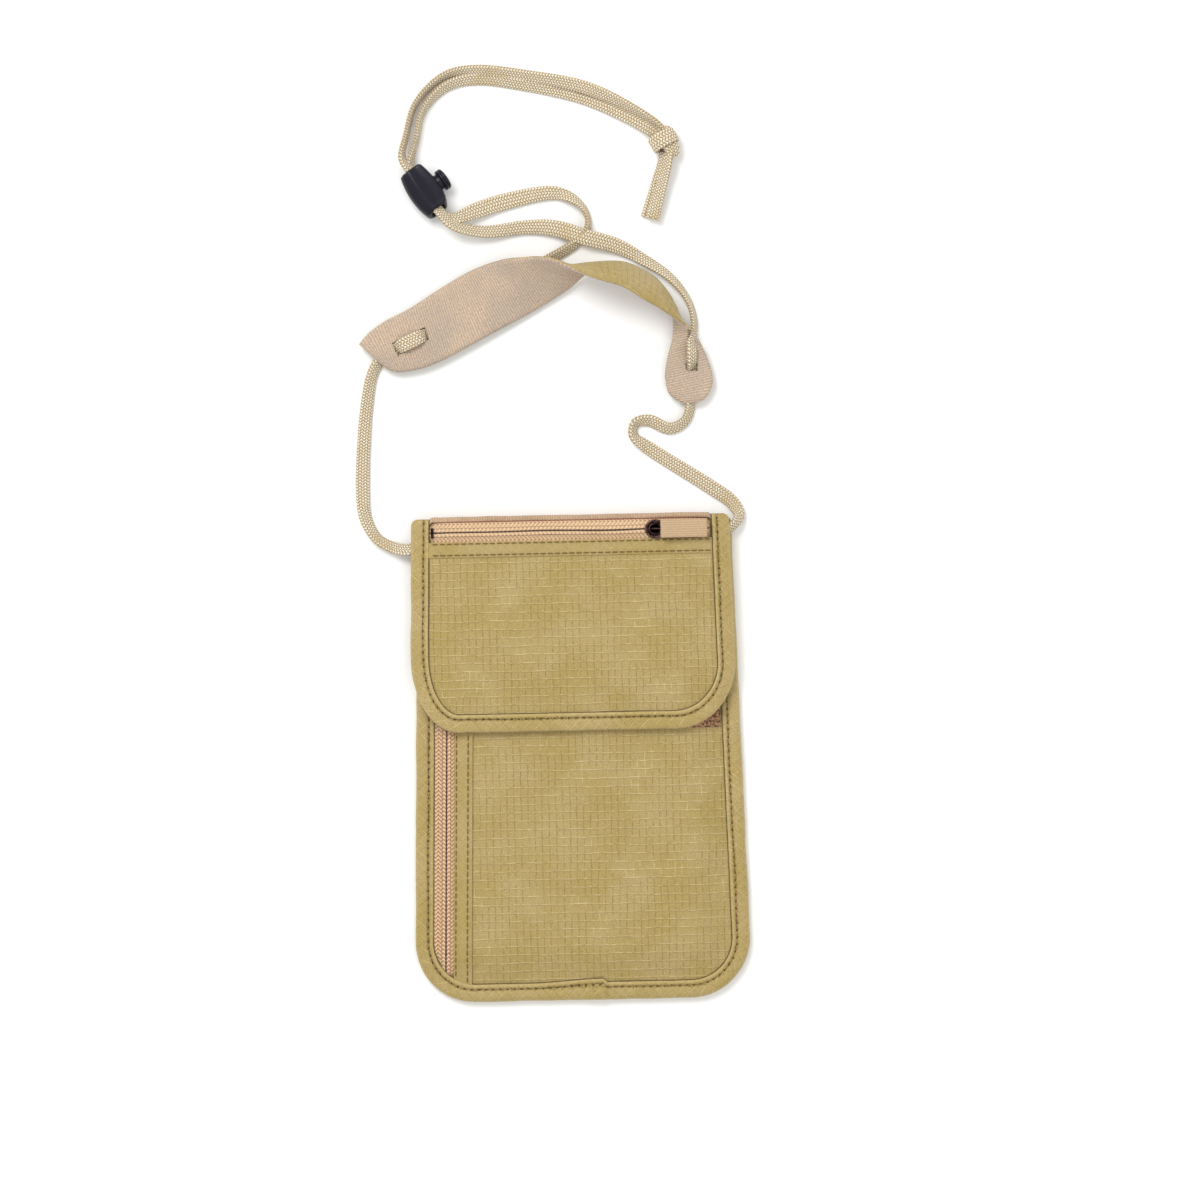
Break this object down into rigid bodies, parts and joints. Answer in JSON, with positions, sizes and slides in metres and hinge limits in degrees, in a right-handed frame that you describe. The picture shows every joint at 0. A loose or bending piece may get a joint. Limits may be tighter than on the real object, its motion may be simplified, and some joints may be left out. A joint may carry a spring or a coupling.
{
  "type": "neck pouch wallet",
  "caption": "Flat zipped travel pouch with a fold-over flap, an adjustable braided neck cord, a soft neck pad and a spring cord lock.",
  "frame": {"origin": "centre of the pouch's outline, cord left out, on the surface that its back lies on", "axes": "+X to the wearer-side right of the front as drawn, +Y towards the folded top edge and the cord, +Z out of the front"},
  "size_m": [0.162, 0.3926, 0.0245],
  "materials": {
    "ripstop_cloth": "khaki ripstop nylon with a fine woven grid, matt",
    "bias_binding": "khaki binding tape cut on the bias, matt, stitched along its inner edge",
    "knit_back": "fine ribbed knit, pinkish tan, soft and matt",
    "pad_knit": "fine ribbed knit, pinkish tan, soft and matt",
    "lining_cloth": "thin coated nylon lining, slight sheen",
    "shield_film": "metallised foil film laminated to thin cloth",
    "zip_tape": "woven polyester zip tape, peach tan, herringbone weave",
    "zip_coil": "nylon coil, dark tan",
    "hook_and_loop": "brown hook-and-loop pile, very rough",
    "pull_ribbon": "tan grosgrain ribbon with cross ribs",
    "cord_braid": "cream and tan flat braided cord",
    "zip_metal": "dark bronze lacquered metal, semi-gloss",
    "lock_plastic": "near-black moulded plastic, satin",
    "spring_steel": "bright spring steel"
  },
  "bodies": {
    "pouch": {"back_panel": "knit_back", "rfid_shield": "shield_film", "divider_lining": "lining_cloth", "front_panel": "ripstop_cloth", "mouth_hem": "bias_binding", "loop_strip": "hook_and_loop", "body_binding": "bias_binding", "front_zip_tape_left": "zip_tape", "front_zip_tape_right": "zip_tape", "front_zip_coil": "zip_coil", "front_zip_facing": "ripstop_cloth", "front_zip_end_stop": "zip_metal", "top_fold": "knit_back", "neck_cord_left": "cord_braid", "neck_cord_right": "cord_braid", "cord_tail_left": "cord_braid", "cord_tail_right": "cord_braid", "cord_knot": "cord_braid", "cord_anchor_left": "pull_ribbon", "cord_anchor_right": "pull_ribbon", "lock_body": "lock_plastic", "lock_spring": "spring_steel", "neck_pad_lining": "pad_knit", "neck_pad_outer": "ripstop_cloth"},
    "flap": {"flap_lining": "lining_cloth", "flap_panel": "ripstop_cloth", "flap_binding": "bias_binding", "hook_strip": "hook_and_loop", "flap_zip_tape_upper": "zip_tape", "flap_zip_tape_lower": "zip_tape", "flap_zip_coil": "zip_coil", "flap_zip_facing": "ripstop_cloth", "flap_zip_end_stop": "zip_metal"},
    "flap_slider": {"flap_zip_slider": "zip_metal"},
    "flap_pull": {"flap_zip_pull": "pull_ribbon"},
    "front_slider": {"front_zip_slider": "zip_metal", "front_zip_pull": "pull_ribbon"},
    "plunger": {"lock_plunger": "lock_plastic"}
  },
  "joints": [
    {"name": "flap_fold", "type": "hinge", "parent": "pouch", "child": "flap", "pos_m": [0, 0.1005, 0.0059], "axis": [-1, 0, 0], "range_deg": [0, 140], "deforming": ["top_fold"]},
    {"name": "flap_zip_slide", "type": "slide", "parent": "flap", "child": "flap_slider", "axis": [-1, 0, 0], "range_m": [0, 0.087]},
    {"name": "flap_pull_swing", "type": "hinge", "parent": "flap_slider", "child": "flap_pull", "pos_m": [0.0339, 0.095, 0.01405], "axis": [0, -1, 0], "range_deg": [0, 160]},
    {"name": "front_zip_slide", "type": "slide", "parent": "pouch", "child": "front_slider", "axis": [-0.0246, -0.9997, 0], "range_m": [0, 0.142]},
    {"name": "plunger_press", "type": "slide", "parent": "pouch", "child": "plunger", "axis": [-0.8135, -0.555, 0.1736], "range_m": [0, 0.002], "stiffness_N_per_m": 800, "springref_m": -0.004, "deforming": ["lock_spring"]}
  ]
}
